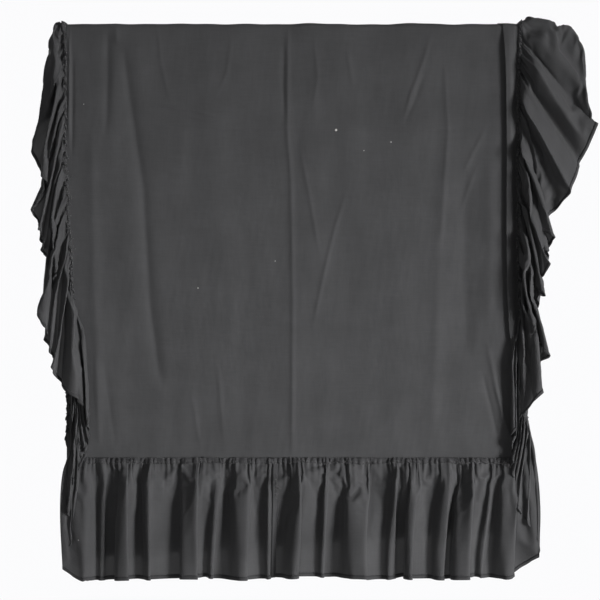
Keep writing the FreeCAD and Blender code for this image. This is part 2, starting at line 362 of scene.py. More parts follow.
# How far each side ruffle's hem reaches sideways before it is draped, by the height of its own
# place on the seam, for the front (1) and the back (-1). Millimetres.
SIDE_REACH = {
    ("left", 1): (
        (12, 40), (0, 40), (-12, 44), (-24, 46), (-38, 52), (-70, 34), (-110, 40), (-146, 46), (-190, 36),
        (-235, 12), (-290, 14), (-329, 26), (-365, 30), (-420, 30), (-470, 24), (-510, -12), (-545, -22),
        (-600, -14), (-660, 4), (-740, 18), (-822, 4),
    ),
    ("right", 1): (
        (12, 122), (0, 130), (-21, 144), (-45, 132), (-62, 134), (-100, 104), (-129, 86), (-160, 44),
        (-205, 60), (-240, 50), (-275, 14), (-320, 26), (-360, 14), (-440, 32), (-506, 24), (-560, 0),
        (-650, 6), (-720, 12), (-800, 22),
    ),
    ("left", -1): (
        (12, 40), (-30, 36), (-70, 10), (-130, 16), (-180, -8), (-250, 4), (-320, -16), (-400, -6),
        (-470, -20), (-560, -14), (-630, -20), (-720, -15), (-820, -15),
    ),
    ("right", -1): (
        (12, 106), (-20, 106), (-50, 92), (-80, 46), (-130, 52), (-180, 6), (-240, 20), (-310, -8),
        (-390, 4), (-470, -14), (-560, -12), (-630, -20), (-720, -15), (-820, -15),
    ),
}
# Where each side ruffle tips from the front to the back, as a distance down the front of the seam
# (negative behind the crest), and over how far to each side of it.
CREST_SHIFT = {"left": -0.008, "right": -0.026}
CREST_SPAN = {"left": 0.030, "right": 0.046}
# How far the gathers stand up over the rail.
CREST_PUFF = {"left": 0.002, "right": 0.011}
SIDE_BACK_END = -0.82
SIDE_SPACING = 0.0075
CORNER_REACH = 0.07
# The folds at the start: how far out their peaks and their troughs stand, how much longer than the
# flat cloth they are at the hem, and how much lower they are beside the foot ruffle.
FOLD_PEAK = (0.032, 0.047)
FOLD_TROUGH = (0.001, 0.008)
FOLD_SPARE = 1.30
LOW_FOLDS = 0.55
# The side ruffles fall outside these planes, so the seams stay in sight: the upper part on both
# sides, and the lower part on each side.
HIGH_GUARD = 0.434
DECK_GUARD = {"left": 0.402, "right": 0.434}
GUARD_CHANGE_Z = -0.465
GUARD_LOW_Z = -1.3
GUARD_HIGH_Z = 0.06
# The side ruffles stay this near the rail's own plane, before and behind.
SIDE_DEPTH = 0.067


def fold_depths(rng, needed, size):
    """How far out each column stands, so that a cloth which has needed metres to lose at each step
    folds to and fro between uneven peaks and troughs, of the given relative size."""
    depth, way, goal, found = FOLD_TROUGH[0], 1, rng.uniform(*FOLD_PEAK), []
    for step, scale in zip(needed, size):
        depth += way * step
        found.append(depth)
        if way * (goal * scale - depth) < 0:
            way = -way
            goal = rng.uniform(*(FOLD_PEAK if way > 0 else FOLD_TROUGH))
    return np.convolve(np.pad(found, 1, "edge"), (0.15, 0.7, 0.15), "valid")


def side_ruffle_points(side, corner):
    """A side ruffle before it is draped: wide folds that fall over each other from the seam. Its
    lower end hangs along corner, the foot ruffle's own end, given as points down that edge."""
    rng = np.random.default_rng(SEED + OUTWARD[side])
    longest = -CORNER_Z[side] + FOLD_LENGTH / 2
    shortest = SIDE_BACK_END - FOLD_LENGTH / 2
    columns = int(round(FULLNESS * (longest - shortest) / SIDE_SPACING)) + 1
    rows = int(round(RUFFLE_WIDTH / SIDE_SPACING)) + 1
    distance = np.linspace(longest, shortest, columns)
    top = side_seam(side, distance)
    step = RUFFLE_WIDTH / (rows - 1)
    out = np.linspace(0, RUFFLE_WIDTH, rows)[:, None]
    turn = np.clip((distance - CREST_SHIFT[side]) / CREST_SPAN[side], -1, 1) * math.pi / 2
    front = np.sin(turn)
    over = np.cos(turn)
    reach = np.where(front > 0, through(metres(SIDE_REACH[side, 1]), top[:, 2]),
                     through(metres(SIDE_REACH[side, -1]), top[:, 2]))
    bend = reach / 0.92
    shelf = 0.92 * (1 - smooth(out, np.maximum(bend - 0.05, 0), bend + 0.05)) + 0.06
    slope = over * shelf + (1 - over) * reach / RUFFLE_WIDTH * np.ones_like(out)
    sideways = np.cumsum(slope, 0) * step - slope * step
    drop = np.cumsum(np.sqrt(1 - slope**2), 0) * step - np.sqrt(1 - slope**2) * step
    lift = np.maximum(HINGE_Y + 0.003 - top[:, 2], 0) * over
    points = np.broadcast_to(top, (rows, columns, 3)).copy()
    points[..., 0] += OUTWARD[side] * sideways
    points[..., 2] += lift * smooth(out, 0, 0.02) - drop
    taken = np.linalg.norm(np.diff(points[-1], axis=0, prepend=points[-1, :1]), axis=1)
    needed = np.sqrt(np.maximum((FOLD_SPARE * SIDE_SPACING)**2 - taken**2, 0))
    tight = 0.0042 * ripples(rng, distance, 0.010, 0.024) * np.exp(-((out - 0.02) / 0.025) ** 2)
    size = 1 - LOW_FOLDS * smooth(distance, 0.48, 0.58)
    height = fold_depths(rng, needed, size) * smooth(out, -0.005, 0.075) + tight * smooth(out, 0, 0.006)
    height = height * smooth(out, 0, 0.008)
    points[..., 1] -= (front + 0.4 * over) * height
    points[..., 2] += 0.3 * over * height
    edge = points_at(corner, np.linspace(0, 1, len(corner)), np.linspace(0, 1, rows))[:, None]
    near = smooth(distance, longest - CORNER_REACH, longest)[:, None]
    points += near * (edge + (top - top[0]) - points)
    flat_u = np.arange(columns) * SIDE_SPACING
    return points, flat_u, out, distance


def plate(name, low, high):
    """A plain box: something for cloth to fall against, or the floor."""
    (x0, y0, z0), (x1, y1, z1) = low, high
    corners = [(x, y, z) for x in (x0, x1) for y in (y0, y1) for z in (z0, z1)]
    faces = [(0, 1, 3, 2), (4, 6, 7, 5), (0, 4, 5, 1), (2, 3, 7, 6), (0, 2, 6, 4), (1, 5, 7, 3)]
    return new_object(name, corners, faces, rounded=False)


def side_solids(side):
    """What a side ruffle falls against: the deck's plane, the other layer, the room it has before
    and behind, and the rail."""
    sign = OUTWARD[side]
    high = sorted((sign * 0.30, sign * HIGH_GUARD))
    low = sorted((sign * 0.30, sign * DECK_GUARD[side]))
    inner, outer = sorted((sign * 0.44, sign * 0.70))
    boxes = {
        "over_deck": ((high[0], -0.07, GUARD_CHANGE_Z + 0.005), (high[1], 0.07, 0.05)),
        "over_deck_low": ((low[0], -0.07, GUARD_LOW_Z), (low[1], 0.07, GUARD_CHANGE_Z - 0.005)),
        "between_halves": ((inner, -0.002, GUARD_LOW_Z), (outer, 0.002, -0.004)),
        "in_front": ((inner, -SIDE_DEPTH - 0.013, GUARD_LOW_Z), (outer, -SIDE_DEPTH, GUARD_HIGH_Z)),
        "behind": ((inner, SIDE_DEPTH, GUARD_LOW_Z), (outer, SIDE_DEPTH + 0.013, GUARD_HIGH_Z)),
    }
    solids = [plate(name, low_corner, high_corner) for name, (low_corner, high_corner) in boxes.items()]
    bpy.ops.mesh.primitive_cylinder_add(vertices=24, radius=RAIL_RADIUS - 0.0002, depth=0.3,
                                        location=(sign * 0.59, 0, 0), rotation=(0, math.pi / 2, 0))
    return solids + [bpy.context.object]


# ---- finer grids, normals and pieces

def refine(grid):
    """The same grid with a point between each two, on a smooth curve through them."""
    for axis in (0, 1):
        g = np.moveaxis(grid, axis, 0)
        ends = np.concatenate([2 * g[:1] - g[1:2], g, 2 * g[-1:] - g[-2:-1]])
        fine = np.empty((2 * len(g) - 1,) + g.shape[1:])
        fine[0::2] = g
        fine[1::2] = (9 * (ends[1:-2] + ends[2:-1]) - ends[:-3] - ends[3:]) / 16
        grid = np.moveaxis(fine, 0, axis)
    return grid


def ease(grid):
    """The grid with its smallest ripples taken out; its four edges stay where they are."""
    grid = grid.copy()
    near = grid[:-2, 1:-1] + grid[2:, 1:-1] + grid[1:-1, :-2] + grid[1:-1, 2:]
    grid[1:-1, 1:-1] = 0.6 * grid[1:-1, 1:-1] + 0.1 * near
    return grid


def normals(grid):
    """A unit normal at each point of a grid."""
    across = np.gradient(grid, axis=1)
    down = np.gradient(grid, axis=0)
    normal = np.cross(across, down)
    return normal / np.maximum(np.linalg.norm(normal, axis=-1, keepdims=True), 1e-12)


def pucker(grid, flat_u, down, rng, height, reach=0.03):
    """Gathering: small pleats that start at the stitching and die away at uneven lengths."""
    length = reach * (1 + 0.5 * ripples(rng, flat_u, 0.012, 0.05))
    pleat = ripples(rng, flat_u, 0.007, 0.016)
    shape = pleat * np.minimum(down / 0.003, 1) * np.exp(-(down / np.maximum(length, 0.008)) ** 1.5)
    return grid + normals(grid) * (height * shape)[..., None]


def closed_band(name, rings, flat_u, flat_v):
    """A closed solid band: rings[point round the section, station along, 3], capped at both ends."""
    index = np.arange(rings[..., 0].size).reshape(rings.shape[:2])
    around = quads_between(np.vstack([index, index[:1]])).tolist()
    caps = [index[:, 0].tolist(), index[::-1, -1].tolist()]
    flat = flat_coordinates(flat_u, flat_v, index.shape)
    return new_object(name, rings.reshape(-1, 3).tolist(), around + caps, flat)


def hem_rings(rows, thick):
    """The section of a hem round the last rows of a sheet: rows[row, column, 3], outer edge last."""
    normal = normals(rows)
    share = np.linspace(0, 1, len(rows))[:, None, None]
    half = normal * thick * (0.35 + 0.65 * smooth(share, 0, 0.35)) / 2
    edge = rows[-1:] + (rows[-1:] - rows[-2:-1]) * 0.1
    return np.concatenate([rows + half, edge, (rows - half)[::-1]])


def line_u(values):
    """A row of numbers refined as refine() does a grid."""
    return np.interp(np.arange(2 * len(values) - 1) / 2, np.arange(len(values)), values)


def ruffle_hem(name, rows, flat_u, down):
    """The stitched hem of a ruffle, round its last rows; down says how far down each one is."""
    around = np.r_[down, RUFFLE_WIDTH, down[::-1]][:, None]
    return closed_band(name, hem_rings(rows, HEM_THICKNESS), flat_u, around)


def edge_band(name, rows, flat_u, rng, frill, facing):
    """The puckered raw edges of a seam: a closed band that stands off one face of the cloth."""
    share = np.linspace(0, 1, len(rows))[:, None]
    wave = 1 + 0.55 * ripples(rng, flat_u, 0.006, 0.014)[None, :]
    stand = 0.0007 + frill * share**1.3 * np.maximum(wave, 0.1)
    normal = normals(rows) * facing
    inner = rows + normal * stand[..., None]
    outer = rows + normal * (stand + 0.0011)[..., None]
    rings = np.concatenate([outer, inner[::-1]])
    return closed_band(name, rings, flat_u, np.linspace(0, 2 * ALLOWANCE_WIDTH, len(rings))[:, None]), outer


def zigzag(outer):
    """The path of an overlock thread over the free edge of a band: outer[row, column, 3]."""
    return np.array([outer[-3 if i % 2 else -1, i] for i in range(outer.shape[1] - 1)])


def frays(rng, outer, count, columns, length):
    """Loose thread ends that curl out of a raw edge."""
    found = []
    for _ in range(count):
        i = int(rng.integers(*columns))
        a = outer[-1, min(i, outer.shape[1] - 1)]
        way = rng.normal(0, 1, 3) * (1, 0.8, 1) + (0, -0.6, -0.3)
        way /= np.linalg.norm(way)
        bend = np.cross(way, rng.normal(0, 1, 3))
        reach = length * rng.uniform(0.4, 1.0)
        t = np.linspace(0, 1, 7)[:, None]
        found.append(a + way * reach * t + bend * reach * 0.5 * np.sin(t * rng.uniform(2, 5)) * t)
    return found


def tubes(name, paths, radius, sides=5):
    """Threads: one mesh of thin closed tubes along the given paths."""
    points, faces = [], []
    ring = np.linspace(0, 2 * math.pi, sides, endpoint=False)
    for path in paths:
        path = np.asarray(path, float)
        along = np.gradient(path, axis=0)
        along /= np.maximum(np.linalg.norm(along, axis=1, keepdims=True), 1e-12)
        side = np.cross(along, (0.31, 0.83, 0.46))
        side /= np.linalg.norm(side, axis=1, keepdims=True)
        up = np.cross(along, side)
        first = len(points)
        rings = (path[:, None] + radius * (side[:, None] * np.cos(ring)[None, :, None]
                                           + up[:, None] * np.sin(ring)[None, :, None]))
        points.extend(rings.reshape(-1, 3).tolist())
        for i in range(len(path) - 1):
            a = first + i * sides
            for k in range(sides):
                m = (k + 1) % sides
                faces.append((a + k, a + m, a + sides + m, a + sides + k))
        faces.append(tuple(range(first + sides - 1, first - 1, -1)))
        faces.append(tuple(range(first + (len(path) - 1) * sides, first + len(path) * sides)))
    return new_object(name, points, faces)


def stitches(name, path, outward, length=0.0032, gap=0.0011, radius=0.00035, sag=0.0003):
    """A row of sewn stitches along a path, standing a little proud along outward."""
    reach = distances(path)
    at = np.linspace(0, reach[-1], max(2, int(round(reach[-1] / (length + gap))) + 1))
    points = points_at(path, reach, at)
    outward = np.asarray(outward, float)
    rows = []
    for a, b in zip(points, points[1:]):
        end = a + (b - a) * length / (length + gap)
        middle = (a + end) / 2 + outward * radius
        rows.append([a - outward * sag, middle, end - outward * sag])
    return tubes(name, rows, radius)


# ---- the deck

# Creases and soft folds of the front half: height towards the front and half width in metres, and
# the (x, z) points that each one runs through in millimetres.
CREASES = (
    (-0.0022, 0.009, ((-368, 10), (-369, -100), (-372, -220))),
    (0.0016, 0.007, ((-352, 10), (-350, -30))),
    (-0.0026, 0.012, ((-340, -30), (-322, -160), (-298, -320), (-284, -560), (-262, -720))),
    (0.0010, 0.0045, ((-8, 10), (-10, -200), (-2, -300), (2, -550), (0, -860))),
    (-0.0009, 0.0045, ((-16, -20), (-18, -120), (-12, -200))),
    (0.0007, 0.0040, ((16, -240), (34, -330), (56, -460))),
    (0.0007, 0.0040, ((112, -320), (86, -400), (64, -490), (40, -610))),
    (0.0006, 0.0045, ((-268, 0), (-262, -70), (-244, -150))),
    (0.0009, 0.0045, ((280, -10), (262, -70), (236, -140), (220, -195))),
    (-0.0007, 0.0040, ((266, -90), (244, -150), (226, -190))),
    (0.0008, 0.0050, ((304, -60), (312, -210), (304, -320), (296, -450))),
    (0.0007, 0.0045, ((388, -200), (362, -250), (344, -290))),
    (0.0006, 0.0045, ((372, -270), (350, -330), (338, -370))),
    (0.0007, 0.0045, ((112, -50), (120, -110))),
    (0.0006, 0.0040, ((-120, -20), (-130, -90), (-152, -140))),
    (0.0006, 0.0040, ((44, -20), (52, -100), (40, -170))),
    (0.0009, 0.0060, ((-392, -650), (-384, -850))),
    (-0.0010, 0.0070, ((-378, -660), (-352, -850))),
    (0.0006, 0.0045, ((-200, -730), (-184, -840))),
    (0.0006, 0.0045, ((-148, -680), (-136, -830))),
    (0.0010, 0.0050, ((388, -620), (408, -720), (432, -830))),
    (-0.0009, 0.0045, ((378, -680), (398, -760), (416, -840))),
    (0.0009, 0.0045, ((402, -700), (424, -780), (444, -840))),
    (0.0005, 0.0035, ((-284, -198), (-100, -203), (120, -200), (336, -204))),
    (0.0008, 0.0035, ((-275, -150), (-200, -166), (-144, -182))),
    (0.0006, 0.0035, ((-236, -168), (-170, -186), (-120, -190))),
    (-0.0026, 0.022, ((344, -280), (346, -500), (348, -660))),
    (0.0022, 0.022, ((396, -240), (398, -450), (392, -600))),
    (0.0016, 0.018, ((296, -300), (290, -600), (280, -820))),
    (0.0018, 0.016, ((-400, -200), (-396, -500), (-380, -800))),
    (0.0012, 0.0030, ((-445.5, 10), (-446, -240))),
    (-0.0012, 0.0030, ((-439, -40), (-440, -260))),
)
EDGE_SPACING = 0.0014
DECK_SPACING = 0.0031
EDGE_ZONE = 0.014
MARGIN = 0.030
MARGIN_COLUMNS = 40
# The loose pleat in the right margin, half its overlap by height, and how far it stands out.
PLEAT = {
    1: ((0.02, 0.025), (-0.065, 0.018), (-0.185, 0.015), (-0.60, 0.014), (-0.74, 0.006), (-0.83, 0.0)),
    -1: ((0.02, 0.034), (-0.06, 0.026), (-0.30, 0.010), (-0.55, 0.0), (-1.10, 0.0)),
}
PLEAT_DEPTH = 0.009
PLEAT_REAR = 0.016
BACK_HEM = 0.012
BACK_DROP = {side: -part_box("%s_seam_back" % side)[0][2] + BACK_HEM for side in ("left", "right")}


def crease(x, z, height, width, line):
    """One crease along a line of (x, z) points: a rounded ridge, or a groove if height is below 0."""
    line = np.array(line)
    reach = np.abs(line[-1] - line[0])
    along, across = (z, x) if reach[1] > reach[0] else (x, z)
    at, off = (line[:, 1], line[:, 0]) if reach[1] > reach[0] else (line[:, 0], line[:, 1])
    order = np.argsort(at)
    away = np.abs(across - np.interp(along, at[order], off[order])) / width
    fade = min(0.3 * (at.max() - at.min()), 0.06)
    ends = smooth(along, at.min() - 0.01, at.min() + fade)
    ends = ends * (1 - smooth(along, at.max() - fade, at.max() + 0.01))
    return height * ends * np.exp(-np.sqrt(away**2 + 0.15) * 1.4 + 0.54)


def deck_points(half):
    """Half of the deck, from the crest down, with its flat coordinates. half is 1 in front, -1 behind."""
    rng = np.random.default_rng(SEED + 20 + half)
    seams = FRONT_SEAM_X if half > 0 else BACK_SEAM_X
    drop = {side: -SEAM_Z + 0.002 for side in seams} if half > 0 else BACK_DROP
    arc = FOLD_LENGTH / 2
    rows = int(round((max(drop.values()) + arc) / DECK_SPACING))
    edge = np.arange(0, EDGE_ZONE, EDGE_SPACING)
    inside = 2 * HALF_DECK - MARGIN
    share = np.r_[edge, np.linspace(EDGE_ZONE, inside, int(round(inside / DECK_SPACING)))] / inside
    t = np.linspace(0, 1, MARGIN_COLUMNS + 1)[1:]
    place = np.r_[share * (1 - MARGIN / (2 * HALF_DECK)), 1 - MARGIN / (2 * HALF_DECK) * (1 - t)]
    length = arc + drop["left"] + (drop["right"] - drop["left"]) * place
    distance = np.linspace(0, 1, rows + 1)[:, None] * length
    turn = np.minimum(distance / HINGE_Y, math.pi / 2)
    z = HINGE_Y * np.cos(turn) - np.maximum(distance - arc, 0)
    left, right = through(seams["left"], z), through(seams["right"], z)
    x = left + (right - MARGIN - left) * np.r_[share, np.ones(MARGIN_COLUMNS)]
    fold = through(PLEAT[half], z[:, -MARGIN_COLUMNS:])
    overlap = np.where(t < 0.5, np.minimum(fold, PLEAT_REAR), fold)
    x[:, -MARGIN_COLUMNS:] += MARGIN * t + overlap * np.sin(2 * math.pi * t)
    forward = np.zeros_like(x)
    lift = smooth(t, 0.18, 0.72) * (1 - smooth(t, 0.86, 1.0))
    lift = lift * (0.15 + 0.85 * smooth(distance[:, -MARGIN_COLUMNS:], 0.004, 0.06))
    forward[:, -MARGIN_COLUMNS:] = PLEAT_DEPTH * np.minimum(fold / 0.015, 1) * lift
    relief = waves(rng, x, z, 16, 0.035, 0.26, 0.0030)
    relief += waves(rng, x, z, 10, 0.012, 0.05, 0.00035, 0.6, 0.35)
    if half > 0:
        for height, width, line in CREASES:
            relief += (2.2 if width < 0.0065 else 1.6) * crease(x, z, height, width, metres(line))
    else:
        for _ in range(22):
            middle = rng.uniform((-0.40, -0.95), (0.38, -0.05))
            lean, tall = rng.uniform(-0.25, 0.25), rng.uniform(0.05, 0.30)
            line = (middle + (lean * tall, tall / 2), middle + (-lean * tall, -tall / 2))
            relief += crease(x, z, rng.choice((-0.0008, 0.0010)), rng.uniform(0.004, 0.009), line)
        relief += crease(x, z, 0.0010, 0.0045, ((-0.008, 0.01), (0.0, -0.4), (-0.004, -1.0)))
    crest = 0.0010 * ripples(np.random.default_rng(SEED + 3), x[:1], 0.05, 0.30)
    edges = smooth(x - left, 0, 0.004) * smooth(right - x, 0, 0.012)
    low = 1 - 0.7 * smooth(distance, length - 0.02, length)
    relief *= (0.25 + 0.75 * smooth(distance, 0, 0.04)) * edges * low
    relief += crest * (1 - smooth(distance, 0.002, 0.03)) * edges
    out = relief + forward
    points = np.stack([x, -half * (HINGE_Y + out) * np.sin(turn),
                       z + out * np.cos(turn)], -1)
    return points, distances(points[rows // 4]), half * distance


# ---- materials

def new_node(tree, kind):
    """A shader node of the given kind."""
    return tree.nodes.new("ShaderNode" + kind)


def fill_in(node, values):
    """Sets the inputs of a node, by name."""
    for name, value in values.items():
        node.inputs[name].default_value = value


def cotton(name, colour, shine, stitch_rows=(), translucent=0.0, wear=0.25, bump=1.0, specks=()):
    """Plain-weave cotton from the sheet's own flat coordinates: threads, slubs, crinkles, lint."""
    material = bpy.data.materials.new(name)
    material.use_nodes = True
    tree = material.node_tree
    links = tree.links
    shader = tree.nodes["Principled BSDF"]
    output = tree.nodes["Material Output"]
    flat = new_node(tree, "UVMap")
    flat.uv_map = "flat"
    split = new_node(tree, "SeparateXYZ")
    links.new(flat.outputs["UV"], split.inputs[0])

    def put(socket, value):
        """A number or a colour in a socket, or a link to it from another one."""
        if isinstance(value, (int, float, tuple)):
            socket.default_value = value
        else:
            links.new(value, socket)

    def calc(kind, a, b=None, c=None, clamp=False):
        """Arithmetic on numbers and sockets."""
        made = new_node(tree, "Math")
        made.operation = kind
        made.use_clamp = clamp
        for socket, value in zip(made.inputs, (a, b, c)):
            if value is not None:
                put(socket, value)
        return made.outputs[0]

    def mixed(share, first, second, kind="MIX"):
        """Two colours mixed, the second by its share."""
        made = new_node(tree, "Mix")
        made.data_type = "RGBA"
        made.blend_type = kind
        for socket, value in zip((0, 6, 7), (share, first, second)):
            put(made.inputs[socket], value)
        return made.outputs[2]

    def noise(scale, detail=3.0, rough=0.5, stretch=(1, 1, 1)):
        """Noise over the flat cloth: scale is in patches to a metre."""
        shift = new_node(tree, "Mapping")
        shift.inputs["Scale"].default_value = [scale * part for part in stretch]
        links.new(flat.outputs["UV"], shift.inputs["Vector"])
        made = new_node(tree, "TexNoise")
        fill_in(made, {"Scale": 1, "Detail": detail, "Roughness": rough})
        links.new(shift.outputs["Vector"], made.inputs["Vector"])
        return made.outputs["Fac"]

    # Threads over and under each other, and the thick and thin places in each.
    turn = math.pi / WEAVE
    warp = calc("SINE", calc("MULTIPLY", split.outputs[0], turn))
    weft = calc("SINE", calc("MULTIPLY", split.outputs[1], turn))
    weave = calc("MULTIPLY", warp, weft)
    slub = calc("ADD", noise(300, 2, 0.6, (1, 0.08, 1)), noise(300, 2, 0.6, (0.08, 1, 1)))
    crinkle = noise(55, 5, 0.62)
    soft = noise(14, 3, 0.5)
    grain = noise(420, 2, 0.7)

    # Colour: soft patches, light and dark flecks from slubs and grain, and a few specks of lint.
    patch = calc("MULTIPLY_ADD", soft, 0.5, 0.75)
    fleck = calc("MULTIPLY_ADD", calc("ADD", slub, grain), wear, 1 - 1.5 * wear)
    tone = calc("MULTIPLY", patch, fleck)
    cells = new_node(tree, "TexVoronoi")
    cells.voronoi_dimensions = "2D"
    fill_in(cells, {"Scale": 14, "Randomness": 1})
    links.new(flat.outputs["UV"], cells.inputs["Vector"])
    parts = new_node(tree, "SeparateColor")
    links.new(cells.outputs["Color"], parts.inputs[0])
    lucky = calc("FRACT", calc("MULTIPLY", parts.outputs[0], 7.3))
    chosen = calc("GREATER_THAN", lucky, 0.965)
    lint = calc("MULTIPLY", calc("LESS_THAN", cells.outputs["Distance"], 0.014), chosen)
    for u, v, radius in specks:
        away = new_node(tree, "VectorMath")
        away.operation = "DISTANCE"
        links.new(flat.outputs["UV"], away.inputs[0])
        away.inputs[1].default_value = (u, v, 0)
        lint = calc("MAXIMUM", lint, calc("LESS_THAN", away.outputs["Value"], radius))
    grey = new_node(tree, "CombineColor")
    for channel in range(3):
        links.new(tone, grey.inputs[channel])
    base = mixed(1, (*colour, 1), grey.outputs[0], "MULTIPLY")
    colour_out = mixed(calc("MULTIPLY", lint, 0.75), base, (0.55, 0.54, 0.52, 1))

    height = calc("MULTIPLY_ADD", weave, 0.10, crinkle)
    height = calc("MULTIPLY_ADD", slub, 0.16, height)

    # A row of stitching: a groove with a dark stitch in each short stretch of it.
    for row in stitch_rows:
        away = calc("ABSOLUTE", calc("SUBTRACT", split.outputs[1], row))
        groove = calc("SUBTRACT", 1, calc("DIVIDE", away, 0.0011), clamp=True)
        dash = calc("SINE", calc("MULTIPLY", split.outputs[0], 2 * math.pi / 0.0034))
        dash = calc("MULTIPLY", groove, calc("GREATER_THAN", dash, -0.45))
        height = calc("SUBTRACT", height, calc("MULTIPLY", groove, 0.9))
        colour_out = mixed(calc("MULTIPLY", dash, 0.65), colour_out, (0.012, 0.012, 0.013, 1))

    links.new(colour_out, shader.inputs["Base Color"])
    relief = new_node(tree, "Bump")
    fill_in(relief, {"Strength": 0.35 * bump, "Distance": 0.0012})
    links.new(height, relief.inputs["Height"])
    links.new(relief.outputs[0], shader.inputs["Normal"])
    links.new(calc("MULTIPLY_ADD", grain, 0.18, 0.74), shader.inputs["Roughness"])
    fill_in(shader, {"Specular IOR Level": 0.22, "Sheen Weight": shine, "Sheen Roughness": 0.45,
                     "Sheen Tint": (0.9, 0.9, 0.92, 1)})
    if translucent:
        through_cloth = new_node(tree, "BsdfTranslucent")
        through_cloth.inputs["Color"].default_value = (translucent, translucent, translucent * 1.02, 1)
        links.new(relief.outputs[0], through_cloth.inputs["Normal"])
        both = new_node(tree, "AddShader")
        links.new(shader.outputs[0], both.inputs[0])
        links.new(through_cloth.outputs[0], both.inputs[1])
        links.new(both.outputs[0], output.inputs["Surface"])
    return material


def thread_material(name, colour, shine):
    """Spun sewing thread: fine twist in the bump, and uneven bands of painted shade in its grooves and
    painted highlight on its ridges.
    """
    material = bpy.data.materials.new(name)
    material.use_nodes = True
    tree = material.node_tree
    shader = tree.nodes["Principled BSDF"]
    place = new_node(tree, "TexCoord")
    twist = new_node(tree, "TexWave")
    twist.wave_type = "BANDS"
    twist.bands_direction = "DIAGONAL"
    fill_in(twist, {"Scale": 900, "Distortion": 3})
    tree.links.new(place.outputs["Object"], twist.inputs["Vector"])
    # Painted shade and highlight: the colour follows the twist's bump, darker in its grooves and lighter on
    # its ridges.
    twist_shade_ramp = new_node(tree, "ValToRGB")
    twist_shade_ramp.color_ramp.elements[0].color = (*[0.55 * part for part in colour], 1)
    twist_shade_ramp.color_ramp.elements[1].color = (*[1.35 * part for part in colour], 1)
    tree.links.new(twist.outputs["Fac"], twist_shade_ramp.inputs["Fac"])
    tree.links.new(twist_shade_ramp.outputs["Color"], shader.inputs["Base Color"])
    relief = new_node(tree, "Bump")
    fill_in(relief, {"Strength": 0.4, "Distance": 0.0002})
    tree.links.new(twist.outputs["Fac"], relief.inputs["Height"])
    tree.links.new(relief.outputs[0], shader.inputs["Normal"])
    fill_in(shader, {"Roughness": 0.7, "Sheen Weight": shine, "Sheen Roughness": 0.4})
    return material


# ---- camera, light and floor

VIEW_CENTRE = (0.016, -0.545)
VIEW_DISTANCE = 4.0
VIEW_WIDTH = 1.2
SENSOR = 36.0

camera_data = bpy.data.cameras.new("photo_camera")
camera_data.sensor_width = SENSOR
camera_data.lens = SENSOR * VIEW_DISTANCE / VIEW_WIDTH
camera = bpy.data.objects.new("photo_camera", camera_data)
camera.location = (VIEW_CENTRE[0], -VIEW_DISTANCE - HINGE_Y, VIEW_CENTRE[1])
camera.rotation_euler = (math.pi / 2, 0, 0)
SCENE.collection.objects.link(camera)
SCENE.camera = camera


def lamp(name, place, size, power, target=(0, 0, -0.5), spread=180):
    """A soft square lamp that faces target, with its light spread over so many degrees."""
    data = bpy.data.lights.new(name, "AREA")
    data.size = size
    data.energy = power
    data.spread = math.radians(spread)
    obj = bpy.data.objects.new(name, data)
    obj.location = place
    away = Vector(place) - Vector(target)
    obj.rotation_euler = away.to_track_quat("Z", "Y").to_euler()
    SCENE.collection.objects.link(obj)


lamp("key_right_front", (4.6, -3.4, -1.1), 1.5, 31, (0.1, 0, -0.95), 42)
lamp("fill_front_low", (-0.6, -3.0, -1.2), 2.0, 9)
lamp("back_light", (-1.2, 2.6, 0.4), 1.6, 42)

SCENE.view_settings.view_transform = "Standard"
world = bpy.data.worlds.new("pale_room")
world.use_nodes = True
SCENE.world = world
room = world.node_tree.nodes["Background"]
room.inputs[0].default_value = (0.97, 0.97, 0.98, 1)
seen = world.node_tree.nodes.new("ShaderNodeLightPath")
strength = world.node_tree.nodes.new("ShaderNodeMapRange")
strength.inputs["To Min"].default_value = 0.19
strength.inputs["To Max"].default_value = 1.0
world.node_tree.links.new(seen.outputs["Is Camera Ray"], strength.inputs["Value"])
world.node_tree.links.new(strength.outputs[0], room.inputs["Strength"])

floor_z = cad_box[0][2] - 0.25
floor = plate("studio_floor", (-2.2, -2.2, floor_z - 0.02), (2.2, 1.1, floor_z))
floor_material = bpy.data.materials.new("pale_floor")
floor_material.use_nodes = True
floor_shader = floor_material.node_tree.nodes["Principled BSDF"]
floor_shader.inputs["Base Color"].default_value = (0.78, 0.78, 0.77, 1)
floor_shader.inputs["Roughness"].default_value = 0.7
floor.data.materials.append(floor_material)

# ---- finishes

HEM_LINE = RUFFLE_WIDTH - HEM_WIDTH
DECK_COTTON = cotton("deck_cotton", (0.052, 0.052, 0.054), 0.08, translucent=0.03,
                     specks=((0.545, 0.218, 0.0022), (0.655, 0.242, 0.0014), (0.257, 0.534, 0.0014)))
RUFFLE_COTTON = cotton("ruffle_cotton", (0.050, 0.050, 0.052), 0.08, translucent=0.03)
HEM_COTTON = cotton("hem_cotton", (0.047, 0.047, 0.049), 0.08, stitch_rows=(HEM_LINE + 0.0012,))
BACK_HEM_COTTON = cotton("back_hem_cotton", (0.047, 0.047, 0.049), 0.08)
RAW_COTTON = cotton("raw_edge_cotton", (0.042, 0.042, 0.044), 0.15, wear=0.5, bump=2.0)
SEWING_THREAD = thread_material("sewing_thread", (0.022, 0.022, 0.024), 0.1)
OVERLOCK_THREAD = thread_material("overlock_thread", (0.070, 0.068, 0.070), 0.3)


def finish(obj, material, body, nodes=(), line=None):
    """Gives a piece its material and slot and hides the CAD parts named in nodes; it rides on a body, or,
    given a line, only has its place baked into its points.
    """
    obj.data.materials.append(material)
    if line:
        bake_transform(obj)
    else:
        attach(obj, body)
    if nodes:
        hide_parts(*nodes)
    return obj


